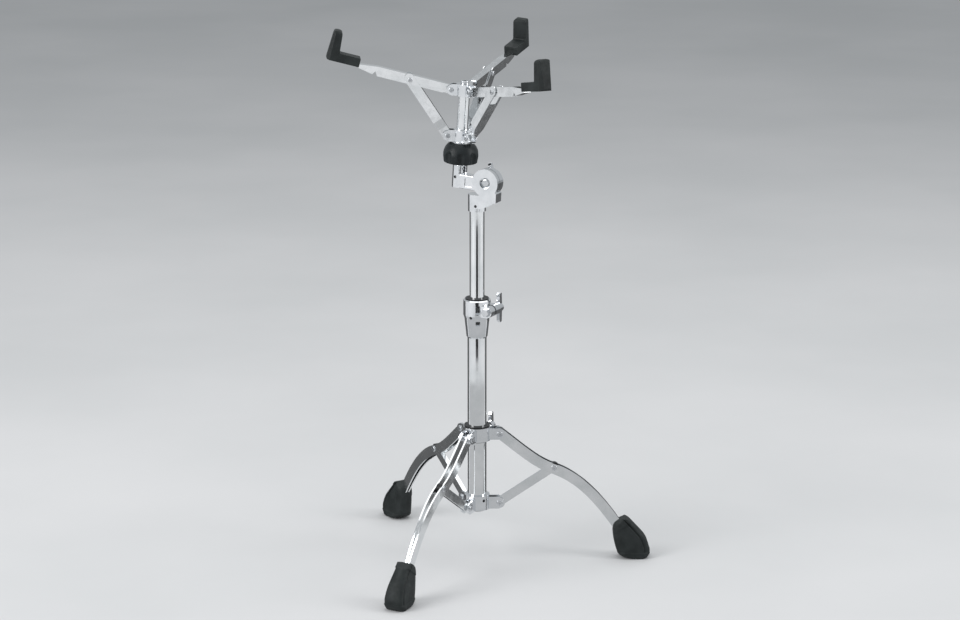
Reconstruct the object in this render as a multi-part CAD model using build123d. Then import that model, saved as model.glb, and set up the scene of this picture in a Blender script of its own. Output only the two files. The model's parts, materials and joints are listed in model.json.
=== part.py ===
from build123d import *
import math
import os

# Snare drum stand. Millimetres, +Z up, origin on the column's axis at floor level.
# +Y points to the back of the stand. Each leg, brace, arm and link is drawn in a
# radial frame (X outward, Y across, Z up) and then turned to its azimuth.

# ---- Tubes -------------------------------------------------------------------
BASE_TUBE_R = 14.3
BASE_TUBE_BORE_R = 12.5
BASE_TUBE_BOTTOM = 81.5
BASE_TUBE_TOP = 404.0
UPPER_TUBE_R = 11.1
UPPER_TUBE_BORE_R = 9.6
UPPER_TUBE_BOTTOM = 224.0
UPPER_TUBE_TOP = 566.0
GUIDE_LENGTH = 32.0
GUIDE_FLOOR = 3.9
GUIDE_HOLE_R = 6.0
RUNNING_FIT = 0.05

# ---- Tripod ------------------------------------------------------------------
LEG_AZIMUTHS = (2.2, 122.2, 242.2)
PIVOT_R = 34.0
LOWER_PIVOT_Z = 90.5
COLLAR_PIVOT_Z = 200.0
KNEE_R = 116.5
KNEE_Z = (LOWER_PIVOT_Z + COLLAR_PIVOT_Z) / 2
RIVET_R = 3.0
RIVET_HEAD_R = 4.6
RIVET_HEAD = 1.5
STRIP_INNER = 3.75
STRIP_OUTER = 6.25
STRIP_HALF_DEPTH = 7.75
STRIP_PATH = [(34, 200), (75.5, 166.5), (106.5, 147), (124, 139.8), (141, 130.5), (182, 94), (218, 46)]
STRIP_TAPER_START = 128.0
STRIP_TIP_R = 230.0
STRIP_TIP_INNER = 0.5
BRACE_HALF_WIDTH = 3.3
BRACE_HALF_DEPTH = 6.25
BRACE_WALL = 1.6
CAP_R = 7.4
CAP_HALF_WIDTH = 3.5
CAP_TONGUE = 1.7
CAP_TONGUE_R = 5.4
FOOT_RIVET = (213.0, 52.0)
FOOT_HALF_WIDTH = 18.0
FOOT_TOP_HALF_WIDTH = 12.5
SOLE_HEEL_R = 222.0
SOLE_TOE_R = 259.0
FOOT_TOP_Z = 63.0
FOOT_MIDDLE_R = 236.0
FOOT_LENGTH = 62.0
FOOT_HEEL_CORNER_R = 14.0
FOOT_TOE_CORNER_R = 8.0

# ---- Collar and lower bracket --------------------------------------------------
EAR_INNER = 6.5
EAR_OUTER = 9.5
EAR_HALF_HEIGHT = 8.5
COLLAR_R = 20.5
COLLAR_BOTTOM = 190.0
COLLAR_TOP = 211.0
COLLAR_BUSH_R = 16.4
FLANGE_R = 19.2
FLANGE = 2.4
COLLAR_BOSS_R = 7.5
COLLAR_BOSS_END = 33.0
COLLAR_BOLT_AZIMUTH = 62.2
BRACKET_R = 19.0
BRACKET_TOP = 104.0
BRACKET_EAR_INNER = 3.6
BRACKET_EAR_OUTER = 6.8
BRACKET_EAR_HALF_HEIGHT = 9.0

# ---- Height clamp --------------------------------------------------------------
CLAMP_BOTTOM = 350.0
CLAMP_TOP = 409.0
CLAMP_R = 20.5
CLAMP_NECK_R = 15.8
CLAMP_STEP_Z = 380.0
CLAMP_STEP_HEIGHT = 5.0
CLAMP_SHOULDER_R = 18.8
CLAMP_AZIMUTH = -30.0
CLAMP_BOLT_Z = 393.0
CLAMP_BOLT_REACH = 24.0
CLAMP_EAR_HALF = 14.0
CLAMP_EAR_R = 8.5
CLAMP_SPLIT = 2.6
CLAMP_BOLT_R = 3.0
CLAMP_BOLT_END = 29.5
CLAMP_SPLIT_BOTTOM = 374.0
CLAMP_LIP_R = 17.5
CLAMP_LIP = 1.6
CLAMP_SLEEVE = 20.0
CLAMP_SLOT = (-87.0, 3.2, 388.5, 402.0)
CLAMP_WINDOW = (-86.0, 3.3, 370.5, 377.5)
HEX_HEAD_R = 5.6
HEX_HEAD = 4.6

# ---- Set screws: azimuth, height, and how far out the screw's face lies ----------
SET_SCREW_R = 2.3
SET_SCREW_SOCKET_R = 1.1
SET_SCREW_SOCKET = 1.5
CLAMP_SCREW = (-118.0, 383.0, CLAMP_R - 2.4)
BRACKET_SCREW = (-57.0, 97.0, BRACKET_R - 1.0)

# ---- Wing nuts -----------------------------------------------------------------
WING_HUB_HEIGHT = 14.0
WING_HUB_FOOT_R = 8.0
WING_HUB_TOP_R = 5.3
WING_HALF_THICKNESS = 2.6
WING_TIP_RADIUS = 1.9

# ---- Tilter --------------------------------------------------------------------
TILTER_AZIMUTH = 63.5
DISC_OFFSET = 19.2
DISC_Z = 588.1
DISC_R = 20.8
DISC_FRONT = -13.3
DISC_JOINT = -5.5
WASHER = 1.0
REAR_DISC_FRONT = DISC_JOINT + WASHER + 0.1
DISC_BACK = 6.5
DISC_CLEARANCE_R = 21.4
TILT = 3.6
SOCKET_R = 13.3
SOCKET_BOTTOM = 543.0
SOCKET_TOP = 568.5
SOCKET_SCREW_Z = 552.0
SOCKET_SCREW_X = 4.0
SOCKET_SLIT = (-52.7, 1.4, 6.0)
FLAT_BOTTOM = 549.0
BLOCK_BACK = 5.0
TILTER_SCREW_R = 2.2
TILTER_BOLT_R = 4.0
TILTER_BOLT_END = 24.0
TILTER_BOLT_HEAD_R = 7.0
TILTER_BOLT_HEAD = 3.6
TILTER_WING_R = 26.0
TILTER_WING_LEAN = 76.0
COUNTERBORE_R = 8.3
COUNTERBORE = 5.0
ROD_OFFSET = 48.2
ARM_BRACKET_LOW = -14.5
ARM_BRACKET_HIGH = 6.5
BRACKET_FRONT = -9.8
BRACKET_BACK = 6.5
BOSS_R = 10.8
BOSS_TOP = 18.9
BOSS_SLIT = (2.6, 5.2)
BOSS_SLIT_HEIGHT = 1.9
ROD_SCREW_AZIMUTH = -104.0
BOSS_SCREW_AZIMUTH = -39.0
BOSS_SCREW_R = 1.6
BOSS_SCREW_RISE = 8.0
RECESS_START = 13.5
RECESS_END = 26.0
RECESS_DEPTH = 1.2
RECESS_MARGIN = 4.0

# ---- Basket, in a frame whose Z is the rod's axis and whose origin is level with the disc ----
BASKET_AZIMUTHS = (184.4, 304.4, 64.4)
ROD_R = 8.4
ROD_BOTTOM = -8.0
HUB_PIVOT_R = 19.5
HUB_PIVOT_Z = 131.5
HUB_R = 12.4
HUB_HALF_HEIGHT = 9.0
HUB_EAR_INNER = 3.6
HUB_EAR_OUTER = 6.0
HUB_SCREW_R = 3.0
HUB_SCREW_HEAD_R = 6.2
HUB_SCREW_HEAD = 4.2
HUB_SOCKET_R = 2.6
SPIDER_PIVOT_R = 21.4
SPIDER_PIVOT_Z = 63.0
SPIDER_R = 12.6
SPIDER_HALF_HEIGHT = 9.0
SPIDER_EAR_INNER = 4.6
SPIDER_EAR_OUTER = 7.4
ARM_RISE = 11.74
ARM_KNEE = 62.57
ARM_HALF_WIDTH = 6.0
ARM_HALF_DEPTH = 7.0
ARM_WALL = 1.5
ARM_TONGUE = 3.3
ARM_HEAD_R = 6.5
ARM_NOTCH = [(110.5, -8.0), (120.0, -8.0), (114.5, -0.5)]
ARM_TAPER_START = 112.0
ARM_TIP = 140.0
ARM_TIP_HALF_DEPTH = 1.6
LINK_HALF_DEPTH = 7.2
LINK_WALL = 1.5
LINK_HEAD = 2.5
LINK_WIDE = 7.9
LINK_NARROW = 4.3
LINK_PIN_R = 2.2
LINK_PIN_HEAD_R = 3.6
SLOT_HALF_TRAVEL = 3.35
SLOT_R = 3.35
SLOT_RISE = 0.78
KNOB_R = 26.8
KNOB_NECK_R = 14.0
KNOB_BOTTOM = 19.4
KNOB_TOP = 52.6
KNOB_FLUTES = 8
FLUTE_R = 6.0
FLUTE_CENTRE_R = KNOB_R + 2.0
WASHER_TOP = 54.0
WASHER_R = 14.5

# ---- Claws, along the arm (X) and square to it (Z) -------------------------------
CLAW_HALF_WIDTH = 10.5
CLAW_PAD = 13.0
CLAW_POST_INNER = 172.0
CLAW_OUTER = 189.5
CLAW_HEIGHT = 45.0
TONGUE_HALF_WIDTH = 5.0
TONGUE_END = 181.0
TONGUE_Z = 1.2
TONGUE = 2.5

MIN_ALIGN = (Align.CENTER, Align.CENTER, Align.MIN)


# ---- Helpers -------------------------------------------------------------------
def rod(radius, low, high):
    """Solid round bar on the Z axis between two heights."""
    return Pos(0, 0, low) * Cylinder(radius, high - low, align=MIN_ALIGN)


def ring(outer, inner, low, high):
    """Round tube on the Z axis between two heights."""
    return rod(outer, low, high) - rod(inner, low - 1, high + 1)


def block(x_range, y_range, z_range):
    """Box between three pairs of limits."""
    low, high = zip(x_range, y_range, z_range)
    size = [b - a for a, b in zip(low, high)]
    middle = [(a + b) / 2 for a, b in zip(low, high)]
    return Pos(*middle) * Box(*size)


def turned(shape, azimuth):
    """The shape turned about the column's axis."""
    return Rot(0, 0, azimuth) * shape


def cross_pin(x, z, radius, half_length):
    """Round bar across the radial frame, centred on Y = 0."""
    return Pos(x, 0, z) * Rot(90, 0, 0) * Cylinder(radius, 2 * half_length)


def polygon(points):
    """Face in the X-Z plane through the points."""
    return Plane.XZ * make_face(Polyline(*points, close=True))


def capsule(start, end, radius):
    """Round-ended bar outline in the X-Z plane, from pivot to pivot."""
    dx, dz = end[0] - start[0], end[1] - start[1]
    middle = Pos((start[0] + end[0]) / 2, (start[1] + end[1]) / 2)
    face = SlotCenterToCenter(math.hypot(dx, dz), 2 * radius)
    return Plane.XZ * middle * Rot(0, 0, math.degrees(math.atan2(dz, dx))) * face


def slab(face, low, high):
    """The X-Z face thickened between two Y positions."""
    return Pos(0, (low + high) / 2, 0) * extrude(face, (high - low) / 2, both=True)


def pair_of_slabs(face, inner, outer):
    """Two mirrored plates, one on each side of Y = 0."""
    plate = slab(face, inner, outer)
    return plate + mirror(plate, Plane.XZ)


def group(shapes):
    """Several separate solids kept as one node."""
    return Compound([solid for shape in shapes for solid in shape.solids()])


def rivet(x, z, half_grip, shank=RIVET_R, head=RIVET_HEAD_R):
    """Hollow-ended rivet whose heads sit outside the plates it grips."""
    body = Cylinder(shank, 2 * half_grip)
    for side in (-1, 1):
        dome = Pos(0, 0, side * (half_grip + RIVET_HEAD / 2)) * Cylinder(head, RIVET_HEAD)
        rim = dome.edges().filter_by(GeomType.CIRCLE).sort_by(Axis.Z)[0 if side < 0 else -1]
        body += fillet(rim, RIVET_HEAD * 0.6)
        body -= Pos(0, 0, side * (half_grip + RIVET_HEAD)) * Cylinder(shank * 0.45, 2 * RIVET_HEAD)
    return Pos(x, 0, z) * Rot(90, 0, 0) * body


def wing_nut(bore_radius, wing_radius):
    """Wing nut on the Z axis, its seat at Z = 0 and its wings along +X and -X."""
    hub = [
        (0, 0),
        (WING_HUB_FOOT_R, 0),
        (WING_HUB_FOOT_R, 2),
        (WING_HUB_TOP_R + 1, WING_HUB_HEIGHT - 1),
        (WING_HUB_TOP_R, WING_HUB_HEIGHT),
        (0, WING_HUB_HEIGHT),
    ]
    wing = [
        (WING_HUB_TOP_R - 1, 6),
        (wing_radius - 4, 6.6),
        (wing_radius, 9),
        (wing_radius - 1, 13),
        (WING_HUB_TOP_R - 1, WING_HUB_HEIGHT),
    ]
    nut = revolve(polygon(hub), Axis.Z)
    plate = slab(polygon(wing), -WING_HALF_THICKNESS, WING_HALF_THICKNESS)
    plate = fillet(plate.edges().filter_by(Axis.Y).sort_by(Axis.X)[-2:], WING_TIP_RADIUS)
    nut += plate
    nut += turned(plate, 180)
    return nut - rod(bore_radius, -1, WING_HUB_HEIGHT + 1)


def clevis(pivot_r, pivot_z, half_height, inner, outer, reach_in):
    """Two ears that stand out from a ring to hold a pivot rivet."""
    nose = half_height - 1.0
    face = capsule((reach_in, pivot_z), (pivot_r, pivot_z), nose)
    face += polygon(
        [
            (reach_in, pivot_z - half_height),
            (pivot_r, pivot_z - half_height),
            (pivot_r, pivot_z + half_height),
            (reach_in, pivot_z + half_height),
        ]
    )
    return pair_of_slabs(face, inner, outer)


# ---- Column --------------------------------------------------------------------
def base_tube():
    return ring(BASE_TUBE_R, BASE_TUBE_BORE_R, BASE_TUBE_BOTTOM, BASE_TUBE_TOP)


def base_plug():
    """Plastic plug that closes the bottom of the tube."""
    plug = rod(BASE_TUBE_BORE_R, BASE_TUBE_BOTTOM, BASE_TUBE_BOTTOM + 9)
    plug += rod(BASE_TUBE_R, BASE_TUBE_BOTTOM - 2, BASE_TUBE_BOTTOM)
    return plug - rod(BASE_TUBE_BORE_R - 2.5, BASE_TUBE_BOTTOM + 1, BASE_TUBE_BOTTOM + 10)


def lower_bracket():
    """Casting fixed to the foot of the tube, with a clevis for each brace."""
    body = ring(BRACKET_R, BASE_TUBE_R, BASE_TUBE_BOTTOM, BRACKET_TOP)
    for azimuth in LEG_AZIMUTHS:
        ears = clevis(
            PIVOT_R,
            LOWER_PIVOT_Z,
            BRACKET_EAR_HALF_HEIGHT,
            BRACKET_EAR_INNER,
            BRACKET_EAR_OUTER,
            BASE_TUBE_R + 2,
        )
        ears -= cross_pin(PIVOT_R, LOWER_PIVOT_Z, RIVET_R, BRACKET_EAR_OUTER + 1)
        body += turned(ears, azimuth)
    body -= rod(BASE_TUBE_R, BASE_TUBE_BOTTOM - 1, BRACKET_TOP + 1)
    return body - screw_hole(*BRACKET_SCREW, margin=2)


def bracket_rivets():
    one = rivet(PIVOT_R, LOWER_PIVOT_Z, BRACKET_EAR_OUTER)
    return group([turned(one, azimuth) for azimuth in LEG_AZIMUTHS])


def screw_hole(azimuth, height, outer, margin=0.0):
    """Round bar from the tube's wall outward, where a set screw sits."""
    bar = rod(SET_SCREW_R, BASE_TUBE_R, outer + margin)
    return turned(Pos(0, 0, height) * Rot(0, 90, 0) * bar, azimuth)


def clamp_opening(azimuth, half_width, low, high):
    """Rectangular window through the clamp's wall, down to the tube."""
    return turned(block((BASE_TUBE_R, CLAMP_R + 2), (-half_width, half_width), (low, high)), azimuth)


def clamp_blank():
    """The clamp's round body before its ears are added and its bore is cut."""
    step_top = CLAMP_STEP_Z + CLAMP_STEP_HEIGHT
    profile = [
        (0, CLAMP_BOTTOM),
        (CLAMP_NECK_R - 1.5, CLAMP_BOTTOM),
        (CLAMP_NECK_R, CLAMP_BOTTOM + 2),
        (CLAMP_SHOULDER_R, CLAMP_STEP_Z),
        (CLAMP_R, step_top),
        (CLAMP_R, CLAMP_TOP - 1.5),
        (CLAMP_R - 1.5, CLAMP_TOP),
        (0, CLAMP_TOP),
    ]
    return revolve(polygon(profile), Axis.Z)


def height_clamp():
    """Cast clamp on top of the tube, split at one side and drawn up by a bolt."""
    reach = CLAMP_BOLT_REACH
    ear = capsule((BASE_TUBE_R - 4, CLAMP_BOLT_Z), (reach, CLAMP_BOLT_Z), CLAMP_EAR_R)
    body = clamp_blank() + turned(slab(ear, -CLAMP_EAR_HALF, CLAMP_EAR_HALF), CLAMP_AZIMUTH)
    body -= rod(BASE_TUBE_R, CLAMP_BOTTOM - 1, CLAMP_TOP + 1)
    split_y = (-CLAMP_SPLIT / 2, CLAMP_SPLIT / 2)
    split = block((BASE_TUBE_R - 1, reach + 12), split_y, (CLAMP_SPLIT_BOTTOM, CLAMP_TOP + 1))
    body -= turned(split, CLAMP_AZIMUTH)
    bolt_hole = cross_pin(reach, CLAMP_BOLT_Z, CLAMP_BOLT_R + RUNNING_FIT, CLAMP_EAR_HALF + 8)
    body -= turned(bolt_hole, CLAMP_AZIMUTH)
    body -= clamp_opening(*CLAMP_SLOT)
    body -= clamp_opening(*CLAMP_WINDOW)
    return body - screw_hole(*CLAMP_SCREW, margin=5)


def clamp_bushing():
    """Nylon bush that lines the top of the clamp and carries the upper tube."""
    bore = UPPER_TUBE_R + RUNNING_FIT
    bush = ring(BASE_TUBE_R, bore, BASE_TUBE_TOP, CLAMP_TOP)
    bush += ring(CLAMP_LIP_R, bore, CLAMP_TOP, CLAMP_TOP + CLAMP_LIP)
    return bush + ring(BASE_TUBE_BORE_R, bore, BASE_TUBE_TOP - CLAMP_SLEEVE, BASE_TUBE_TOP)


def clamp_bolt():
    """Hex bolt through the clamp's ears, ending in the wing nut."""
    start = -CLAMP_EAR_HALF
    head = extrude(RegularPolygon(HEX_HEAD_R, 6, major_radius=False), HEX_HEAD)
    head = chamfer(head.faces().sort_by(Axis.Z)[0].edges(), 0.8)
    return rod(CLAMP_BOLT_R, start, CLAMP_BOLT_END) + Pos(0, 0, start - HEX_HEAD) * head


def on_clamp_bolt(shape):
    """Places a shape drawn on Z along the clamp bolt, +Z towards the wing nut."""
    return turned(Pos(CLAMP_BOLT_REACH, 0, CLAMP_BOLT_Z) * Rot(-90, 0, 0) * shape, CLAMP_AZIMUTH)


def clamp_wing_nut():
    nut = wing_nut(CLAMP_BOLT_R + RUNNING_FIT, 23)
    return Pos(0, 0, CLAMP_EAR_HALF + 1.0) * Rot(0, 0, 90) * nut


def set_screw(radius, inner, outer):
    """Headless screw on the Z axis with a hex socket in its outer end."""
    socket = Pos(0, 0, outer - SET_SCREW_SOCKET) * extrude(RegularPolygon(SET_SCREW_SOCKET_R, 6), 3)
    return rod(radius, inner, outer) - socket


def column_set_screws():
    """Two screws with hex sockets that fix the castings to the tube."""
    screws = []
    for azimuth, height, outer in (CLAMP_SCREW, BRACKET_SCREW):
        screw = set_screw(SET_SCREW_R, BASE_TUBE_R, outer)
        screws.append(turned(Pos(0, 0, height) * Rot(0, 90, 0) * screw, azimuth))
    return group(screws)


# ---- Tripod --------------------------------------------------------------------
def strip_outline():
    """Side view of a leg strip: a spline with an even depth and a round head at the collar."""
    upper, lower = [], []
    for index, (x, z) in enumerate(STRIP_PATH):
        before = STRIP_PATH[max(index - 1, 0)]
        after = STRIP_PATH[min(index + 1, len(STRIP_PATH) - 1)]
        dx, dz = after[0] - before[0], after[1] - before[1]
        length = math.hypot(dx, dz)
        across = (-dz / length * STRIP_HALF_DEPTH, dx / length * STRIP_HALF_DEPTH)
        upper.append((x + across[0], z + across[1]))
        lower.append((x - across[0], z - across[1]))
    start, first = STRIP_PATH[0], STRIP_PATH[1]
    run = math.hypot(first[0] - start[0], first[1] - start[1])
    head = (
        start[0] - (first[0] - start[0]) / run * STRIP_HALF_DEPTH,
        start[1] - (first[1] - start[1]) / run * STRIP_HALF_DEPTH,
    )
    edges = [
        Spline(*upper),
        Line(upper[-1], lower[-1]),
        Spline(*lower),
        ThreePointArc(lower[0], head, upper[0]),
    ]
    return Plane.XZ * make_face(edges)


def strip_plan(side):
    """Plan view of a leg strip: parallel to its twin as far as the knee, then closing in."""
    thick = STRIP_OUTER - STRIP_INNER
    points = [
        (20, STRIP_INNER),
        (STRIP_TAPER_START, STRIP_INNER),
        (STRIP_TIP_R, STRIP_TIP_INNER),
        (STRIP_TIP_R, STRIP_TIP_INNER + thick),
        (STRIP_TAPER_START, STRIP_OUTER),
        (20, STRIP_OUTER),
    ]
    face = make_face(Polyline(*[(x, side * y) for x, y in points], close=True))
    return extrude(face, 220)


def leg_strip(side):
    strip = slab(strip_outline(), -8, 8) & strip_plan(side)
    strip -= cross_pin(PIVOT_R, COLLAR_PIVOT_Z, RIVET_R + RUNNING_FIT, 20)
    strip -= cross_pin(KNEE_R, KNEE_Z, RIVET_R, 20)
    return strip - cross_pin(*FOOT_RIVET, RIVET_R, 20)


def leg_rivets():
    """The knee rivet, and the rivet inside the foot that joins the two strips."""
    return group([rivet(KNEE_R, KNEE_Z, STRIP_OUTER), cross_pin(*FOOT_RIVET, RIVET_R, STRIP_INNER)])


def rubber_foot():
    """Moulded rubber foot: a wedge that flares to a flat sole, with a pocket for the strips."""
    side_view = [
        (205.5, 45),
        (207.5, 56),
        (221, FOOT_TOP_Z),
        (231, 62),
        (247, 44),
        (259, 32),
        (265.5, 12),
        (SOLE_TOE_R + 3, 1.5),
        (SOLE_TOE_R, 0),
        (SOLE_HEEL_R, 0),
        (215, 5),
        (209, 22),
    ]
    foot = slab(polygon(side_view), -FOOT_HALF_WIDTH, FOOT_HALF_WIDTH)
    front_view = make_face(
        Polyline(
            (-FOOT_HALF_WIDTH + 2, 0),
            (FOOT_HALF_WIDTH - 2, 0),
            (FOOT_HALF_WIDTH, 3),
            (FOOT_HALF_WIDTH, 12),
            (FOOT_TOP_HALF_WIDTH, FOOT_TOP_Z + 1),
            (-FOOT_TOP_HALF_WIDTH, FOOT_TOP_Z + 1),
            (-FOOT_HALF_WIDTH, 12),
            (-FOOT_HALF_WIDTH, 3),
            close=True,
        )
    )
    foot &= extrude(Plane.YZ * front_view, 300)
    plan_view = Pos(FOOT_MIDDLE_R, 0) * Rectangle(FOOT_LENGTH, 2 * FOOT_HALF_WIDTH)
    plan_view = fillet(plan_view.vertices().group_by(Axis.X)[0], FOOT_HEEL_CORNER_R)
    plan_view = fillet(plan_view.vertices().group_by(Axis.X)[-1], FOOT_TOE_CORNER_R)
    foot &= extrude(plan_view, FOOT_TOP_Z + 2)
    for side in (-1, 1):
        foot -= leg_strip(side)
    return foot - cross_pin(*FOOT_RIVET, RIVET_R, STRIP_INNER)


def brace_direction():
    """Length and elevation of the brace from its lower pivot to the knee."""
    dx, dz = KNEE_R - PIVOT_R, KNEE_Z - LOWER_PIVOT_Z
    return math.hypot(dx, dz), math.degrees(math.atan2(dz, dx))


def on_brace(shape):
    """Places a shape drawn along X from the lower pivot onto the brace's line."""
    return Pos(PIVOT_R, 0, LOWER_PIVOT_Z) * Rot(0, -brace_direction()[1], 0) * shape


def brace_tongue(length):
    """Flat tongue at the knee end of the brace, inside its nylon cap."""
    return slab(capsule((length - 14, 0), (length, 0), CAP_TONGUE_R), -CAP_TONGUE, CAP_TONGUE)


def brace():
    """Folded steel channel from the lower bracket to the knee, open underneath."""
    length, _ = brace_direction()
    shoulder = length - CAP_R - 0.8
    outline = capsule((0, 0), (shoulder, 0), BRACE_HALF_DEPTH)
    outline += polygon(
        [
            (shoulder - 8, -BRACE_HALF_DEPTH),
            (shoulder, -BRACE_HALF_DEPTH),
            (shoulder, BRACE_HALF_DEPTH),
            (shoulder - 8, BRACE_HALF_DEPTH),
        ]
    )
    bar = slab(outline, -BRACE_HALF_WIDTH, BRACE_HALF_WIDTH)
    bar &= block((-20, shoulder), (-5, 5), (-10, 10))
    inner = BRACE_HALF_WIDTH - BRACE_WALL
    bar -= block((-20, shoulder - 4), (-inner, inner), (-10, BRACE_HALF_DEPTH - BRACE_WALL))
    bar += brace_tongue(length)
    bar -= cross_pin(0, 0, RIVET_R + RUNNING_FIT, 10)
    return bar - cross_pin(length, 0, RIVET_R + RUNNING_FIT, 10)


def brace_cap():
    """Nylon cap on the knee end of the brace, which keeps the strips apart."""
    length, _ = brace_direction()
    cap = cross_pin(length, 0, CAP_R, CAP_HALF_WIDTH) - brace_tongue(length)
    return cap - cross_pin(length, 0, RIVET_R + RUNNING_FIT, 10)


def leg_collar():
    """Sliding collar with a clevis for each leg and a threaded boss for its wing bolt."""
    body = rod(COLLAR_R, COLLAR_BOTTOM, COLLAR_TOP)
    for azimuth in LEG_AZIMUTHS:
        ears = clevis(PIVOT_R, COLLAR_PIVOT_Z, EAR_HALF_HEIGHT, EAR_INNER, EAR_OUTER, COLLAR_BUSH_R)
        body += turned(ears - cross_pin(PIVOT_R, COLLAR_PIVOT_Z, RIVET_R, EAR_OUTER + 1), azimuth)
    body += on_collar_bolt(rod(COLLAR_BOSS_R, COLLAR_BUSH_R, COLLAR_BOSS_END))
    body -= rod(COLLAR_BUSH_R, COLLAR_BOTTOM - 1, COLLAR_TOP + 1)
    return body - on_collar_bolt(rod(CLAMP_BOLT_R + RUNNING_FIT, COLLAR_BUSH_R - 3, COLLAR_BOSS_END + 1))


def on_collar_bolt(shape):
    """Places a shape drawn on Z along the collar's wing bolt, +Z outward."""
    return turned(Pos(0, 0, COLLAR_PIVOT_Z) * Rot(0, 90, 0) * shape, COLLAR_BOLT_AZIMUTH)


def collar_bushing():
    """Nylon sleeve in the collar, with a flange above and a lip below."""
    bore = BASE_TUBE_R + RUNNING_FIT
    sleeve = ring(COLLAR_BUSH_R, bore, COLLAR_BOTTOM, COLLAR_TOP)
    sleeve += ring(FLANGE_R, bore, COLLAR_TOP, COLLAR_TOP + FLANGE)
    return sleeve + ring(FLANGE_R - 1, bore, COLLAR_BOTTOM - 1.2, COLLAR_BOTTOM)


def collar_rivets():
    one = rivet(PIVOT_R, COLLAR_PIVOT_Z, EAR_OUTER)
    return group([turned(one, azimuth) for azimuth in LEG_AZIMUTHS])


def collar_wing_bolt():
    """Wing bolt that presses on the collar's sleeve."""
    seat = COLLAR_BOSS_END + 2.5
    bolt = rod(CLAMP_BOLT_R, COLLAR_BUSH_R + 0.3, seat + 5)
    return bolt + Pos(0, 0, seat) * (wing_nut(CLAMP_BOLT_R, 22) + rod(CLAMP_BOLT_R, 0, 14))


# ---- Upper column --------------------------------------------------------------
def guide_bushing():
    """Nylon guide in which the end of the upper tube turns, with a floor under the tube."""
    outer, bore = BASE_TUBE_BORE_R - RUNNING_FIT, UPPER_TUBE_R + RUNNING_FIT
    floor_top = UPPER_TUBE_BOTTOM - 0.1
    sleeve = ring(outer, bore, floor_top, UPPER_TUBE_BOTTOM + GUIDE_LENGTH)
    return sleeve + ring(outer, GUIDE_HOLE_R, floor_top - GUIDE_FLOOR, floor_top)


def upper_tube():
    return ring(UPPER_TUBE_R, UPPER_TUBE_BORE_R, UPPER_TUBE_BOTTOM, UPPER_TUBE_TOP)


# ---- Tilter --------------------------------------------------------------------
# The tilter's frame: X to the side on which the discs stand off the tube, Y along the
# discs' axis to the back, Z up. The discs' axis crosses the frame at (DISC_OFFSET, 0, DISC_Z).
def in_tilter(shape):
    """Places a shape drawn in the tilter's frame."""
    return turned(shape, TILTER_AZIMUTH - 90)


def on_disc_axis(shape):
    """Places a shape drawn on Z along the discs' axis, +Z to the back."""
    return Pos(DISC_OFFSET, 0, DISC_Z) * Rot(-90, 0, 0) * shape


def leaning(shape):
    """Leans a shape drawn in the tilter's frame about the discs' axis by the stored tilt."""
    return shape.rotate(Axis((DISC_OFFSET, 0, DISC_Z), (0, 1, 0)), TILT)


def tilter_base():
    """Casting on the upper tube: a split socket, a flat-fronted block and the front disc."""
    body = rod(SOCKET_R, SOCKET_BOTTOM, SOCKET_TOP)
    side_view = polygon(
        [
            (0, FLAT_BOTTOM),
            (12, FLAT_BOTTOM),
            (24.5, 553.5),
            (37, 560),
            (37.5, 573),
            (34, 577),
            (26, 577),
            (8, SOCKET_TOP),
            (0, SOCKET_TOP),
        ]
    )
    body += slab(side_view, DISC_FRONT, BLOCK_BACK)
    body += on_disc_axis(rod(DISC_R, DISC_FRONT, DISC_JOINT))
    body -= on_disc_axis(rod(DISC_CLEARANCE_R, DISC_JOINT, 20))
    body -= on_disc_axis(rod(COUNTERBORE_R, DISC_FRONT - 1, DISC_FRONT + COUNTERBORE))
    body -= on_disc_axis(rod(TILTER_BOLT_R, DISC_FRONT - 1, DISC_JOINT + 1))
    body -= rod(UPPER_TUBE_R, SOCKET_BOTTOM - 1, UPPER_TUBE_TOP)
    azimuth, half_width, height = SOCKET_SLIT
    slit = block(
        (UPPER_TUBE_R, SOCKET_R + 2), (-half_width, half_width), (SOCKET_BOTTOM - 1, SOCKET_BOTTOM + height)
    )
    body -= turned(slit, azimuth)
    return body - on_socket_screw(rod(TILTER_SCREW_R, 9, -DISC_FRONT + 1))


def on_socket_screw(shape):
    """Places a shape drawn on Z along the socket's set screw, +Z out of the flat front."""
    return Pos(SOCKET_SCREW_X, 0, SOCKET_SCREW_Z) * Rot(90, 0, 0) * shape


def socket_set_screw():
    """Set screw that bears on the upper tube."""
    screw = on_socket_screw(set_screw(TILTER_SCREW_R, 9, -DISC_FRONT - 1.2))
    return screw - rod(UPPER_TUBE_R, SOCKET_BOTTOM, SOCKET_TOP)


def tilter_washer():
    """Friction washer fixed to the front disc."""
    return on_disc_axis(ring(DISC_R - 1.2, TILTER_BOLT_R, DISC_JOINT, DISC_JOINT + WASHER))


def tilter_bolt():
    """Domed bolt that draws the two discs together."""
    seat = DISC_FRONT + COUNTERBORE
    bolt = rod(TILTER_BOLT_R, seat, TILTER_BOLT_END)
    head = rod(TILTER_BOLT_HEAD_R, seat - TILTER_BOLT_HEAD, seat)
    head = fillet(head.edges().filter_by(GeomType.CIRCLE).sort_by(Axis.Z)[0], 2.6)
    return on_disc_axis(bolt + head)


def tilter_wing_nut():
    """Wing nut on the back of the tilter, its wings nearly upright."""
    nut = wing_nut(TILTER_BOLT_R + RUNNING_FIT, TILTER_WING_R)
    return on_disc_axis(Pos(0, 0, DISC_BACK + 0.6) * Rot(0, 0, TILTER_WING_LEAN) * nut)


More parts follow.
